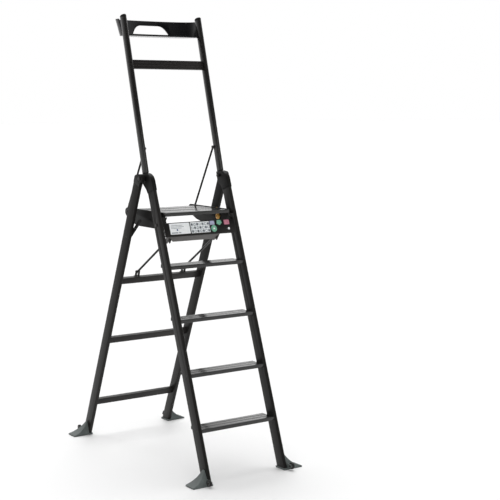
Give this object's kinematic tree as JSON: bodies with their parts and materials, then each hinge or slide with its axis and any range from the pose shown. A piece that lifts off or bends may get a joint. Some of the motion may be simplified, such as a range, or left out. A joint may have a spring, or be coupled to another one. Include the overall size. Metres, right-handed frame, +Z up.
{
  "type": "step ladder",
  "caption": "Free-standing folding step ladder with ribbed treads, a tilting platform, a tall leaning handrail, a tool tray, stay rods and splayed feet.",
  "frame": {"origin": "on the floor, at the middle of the footprint", "axes": "+Z up, +Y the way a person faces while climbing, +X to their right; the steps are on the -Y side"},
  "size_m": [0.6586, 1.18, 2.0892],
  "materials": {
    "black_extrusion": "satin black anodised aluminium extrusion",
    "ribbed_surface": "ribbed black aluminium, semi-gloss on the ribs",
    "black_sheet": "satin black sheet",
    "black_moulding": "satin black moulded nylon",
    "tray_plastic": "glossy black moulded plastic",
    "foot_plastic": "grey-green matt foot rubber",
    "roller_plastic": "matt black roller",
    "blackened_steel": "blackened steel rods, pins and bolts"
  },
  "bodies": {
    "front_frame": {"front_stile_left": "black_extrusion", "front_stile_right": "black_extrusion", "front_top_joint_left": "black_moulding", "front_top_joint_right": "black_moulding", "hinge_bolt_left": "blackened_steel", "hinge_bolt_right": "blackened_steel", "hinge_washer_left": "black_moulding", "hinge_washer_right": "black_moulding", "tread_1": "ribbed_surface", "tread_2": "ribbed_surface", "tread_3": "ribbed_surface", "tread_4": "ribbed_surface", "handrail_tube_left": "black_extrusion", "handrail_tube_right": "black_extrusion", "tube_cap_left": "black_moulding", "tube_cap_right": "black_moulding", "mid_rail": "black_extrusion", "tool_tray": "tray_plastic", "platform_pin_left": "blackened_steel", "platform_pin_right": "blackened_steel", "pivot_spacer_left": "black_moulding", "pivot_spacer_right": "black_moulding", "front_foot_left": "foot_plastic", "front_foot_right": "foot_plastic", "front_axle_left": "blackened_steel", "front_axle_right": "blackened_steel"},
    "rear_frame": {"rear_stile_left": "black_extrusion", "rear_stile_right": "black_extrusion", "rear_top_joint_left": "black_moulding", "rear_top_joint_right": "black_moulding", "rear_crossbar_1": "black_extrusion", "rear_crossbar_2": "black_extrusion", "rear_crossbar_3": "black_extrusion", "stay_lug_left": "blackened_steel", "stay_lug_right": "blackened_steel", "lower_stay_pin_left": "blackened_steel", "lower_stay_pin_right": "blackened_steel", "catch_arm_left": "black_moulding", "catch_arm_right": "black_moulding", "rear_foot_left": "foot_plastic", "rear_foot_right": "foot_plastic", "rear_axle_left": "blackened_steel", "rear_axle_right": "blackened_steel"},
    "platform": {"platform_deck": "ribbed_surface", "platform_side_arm_left": "black_moulding", "platform_side_arm_right": "black_moulding", "platform_fascia": "black_sheet", "stay_strap": "black_sheet", "upper_stay_pin_left": "blackened_steel", "upper_stay_pin_right": "blackened_steel"},
    "upper_stay_body_left": {"upper_stay_left": "blackened_steel"},
    "lower_stay_body_left": {"lower_stay_left": "blackened_steel"},
    "front_roller_body_left": {"front_roller_left": "roller_plastic"},
    "rear_roller_body_left": {"rear_roller_left": "roller_plastic"},
    "upper_stay_body_right": {"upper_stay_right": "blackened_steel"},
    "lower_stay_body_right": {"lower_stay_right": "blackened_steel"},
    "front_roller_body_right": {"front_roller_right": "roller_plastic"},
    "rear_roller_body_right": {"rear_roller_right": "roller_plastic"}
  },
  "joints": [
    {"name": "fold", "type": "hinge", "parent": "front_frame", "child": "rear_frame", "pos_m": [0, -0.02, 1.33], "axis": [-1, 0, 0], "range_deg": [0, 40]},
    {"name": "platform_tilt", "type": "hinge", "parent": "front_frame", "child": "platform", "pos_m": [0, -0.123, 1.12], "axis": [1, 0, 0], "range_deg": [0, 72]},
    {"name": "upper_stay_left_swing", "type": "hinge", "parent": "platform", "child": "upper_stay_body_left", "pos_m": [0, 0.1845, 1.16], "axis": [-1, 0, 0], "range_deg": [0, 126.5]},
    {"name": "lower_stay_left_swing", "type": "hinge", "parent": "rear_frame", "child": "lower_stay_body_left", "pos_m": [0, 0.192, 0.863], "axis": [-1, 0, 0], "range_deg": [0, 48]},
    {"name": "upper_stay_right_swing", "type": "hinge", "parent": "platform", "child": "upper_stay_body_right", "pos_m": [0, 0.1845, 1.16], "axis": [-1, 0, 0], "range_deg": [0, 126.5]},
    {"name": "lower_stay_right_swing", "type": "hinge", "parent": "rear_frame", "child": "lower_stay_body_right", "pos_m": [0, 0.192, 0.863], "axis": [-1, 0, 0], "range_deg": [0, 48]},
    {"name": "front_roller_left_spin", "type": "hinge", "parent": "front_frame", "child": "front_roller_body_left", "pos_m": [-0.2289, -0.575, 0.021], "axis": [1, 0, 0], "continuous": true},
    {"name": "rear_roller_left_spin", "type": "hinge", "parent": "rear_frame", "child": "rear_roller_body_left", "pos_m": [-0.2559, 0.575, 0.021], "axis": [1, 0, 0], "continuous": true},
    {"name": "front_roller_right_spin", "type": "hinge", "parent": "front_frame", "child": "front_roller_body_right", "pos_m": [0.2289, -0.575, 0.021], "axis": [1, 0, 0], "continuous": true},
    {"name": "rear_roller_right_spin", "type": "hinge", "parent": "rear_frame", "child": "rear_roller_body_right", "pos_m": [0.2559, 0.575, 0.021], "axis": [1, 0, 0], "continuous": true}
  ],
  "couplings": [
    {"joint": "platform_tilt", "follows": "fold", "ratio": 1.8},
    {"joint": "upper_stay_left_swing", "follows": "fold", "ratio": 3.162},
    {"joint": "lower_stay_left_swing", "follows": "fold", "ratio": 1.2},
    {"joint": "upper_stay_right_swing", "follows": "fold", "ratio": 3.162},
    {"joint": "lower_stay_right_swing", "follows": "fold", "ratio": 1.2}
  ]
}
